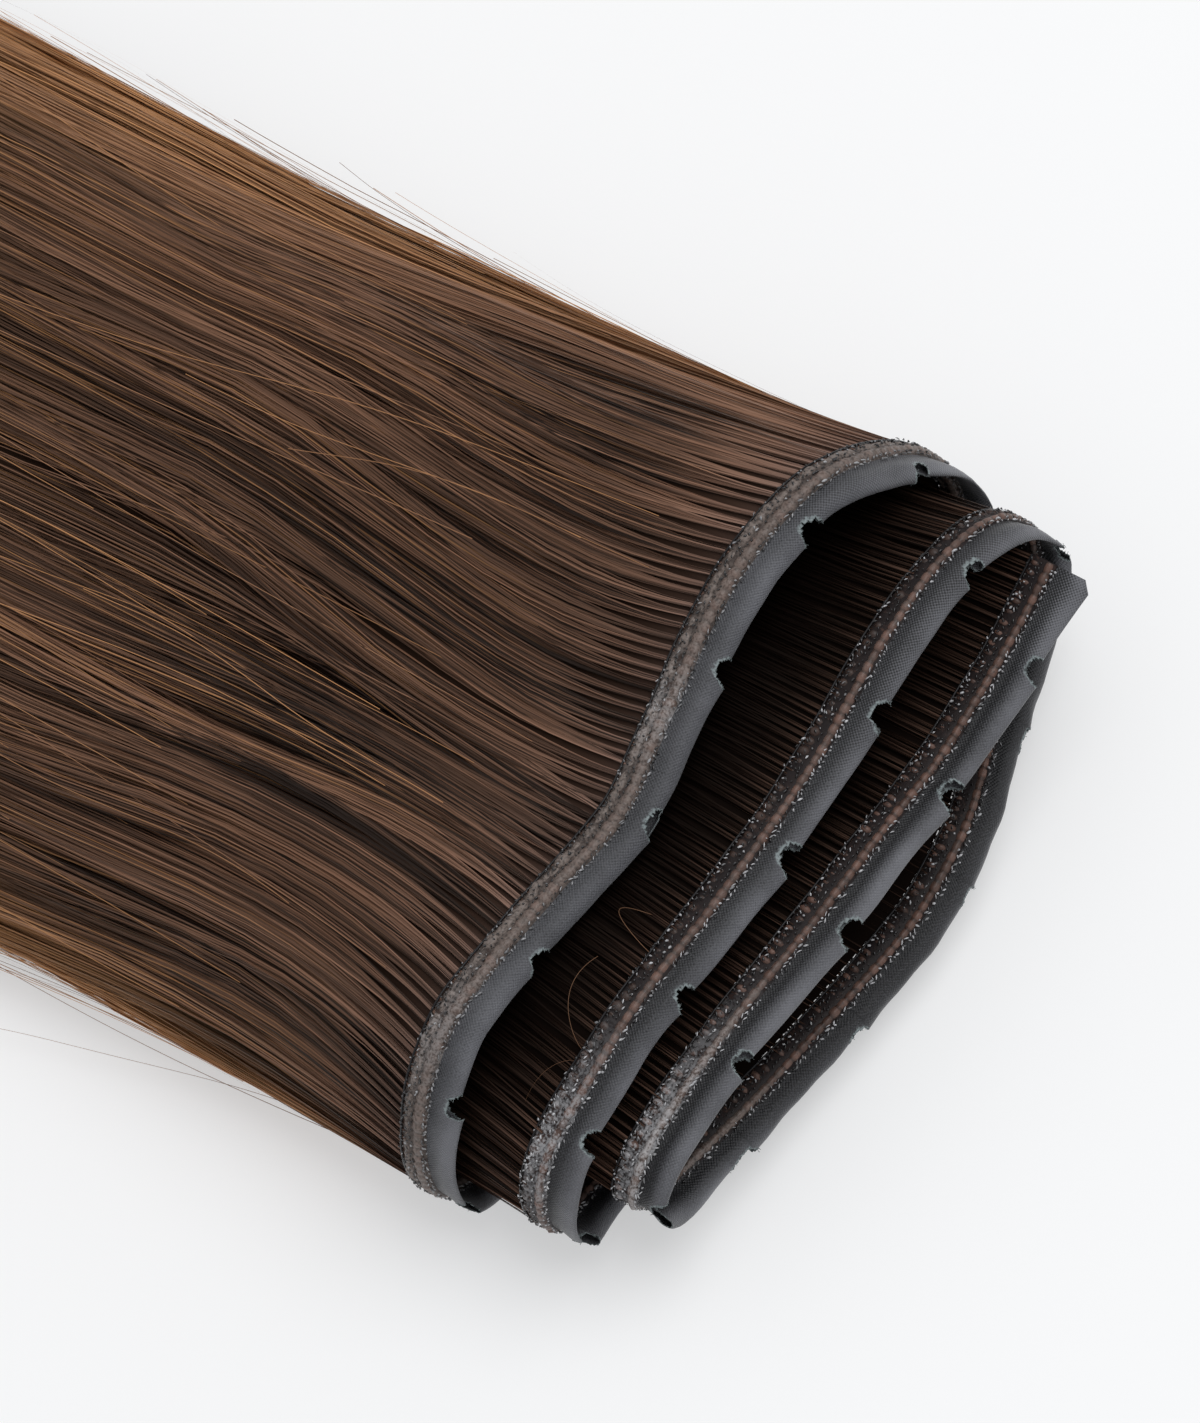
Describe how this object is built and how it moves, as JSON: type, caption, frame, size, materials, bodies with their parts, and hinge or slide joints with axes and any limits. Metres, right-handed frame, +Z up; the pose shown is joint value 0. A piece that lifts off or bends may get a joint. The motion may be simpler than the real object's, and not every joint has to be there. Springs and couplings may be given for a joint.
{
  "type": "butterfly weft hair extension",
  "caption": "Long dark brown hair sewn into a narrow stitched band with a notched folded net tape along its edge, rolled into a flattened spiral and lying flat.",
  "frame": {"origin": "on the table, under the middle of the whole piece's bounding box", "axes": "+Y along the hair from the sewn end to the tips, +X along the sewn strip's spans, +Z up"},
  "size_m": [0.106, 0.4138, 0.0355],
  "materials": {
    "net_tape": "fine grey net with a soft sheen",
    "stitched_band": "sewn hair and thread, matte",
    "hair": "straight brown strands, satin"
  },
  "bodies": {
    "root": {"fin_tape": "net_tape", "stitched_band": "stitched_band", "hair": "hair"}
  },
  "joints": []
}
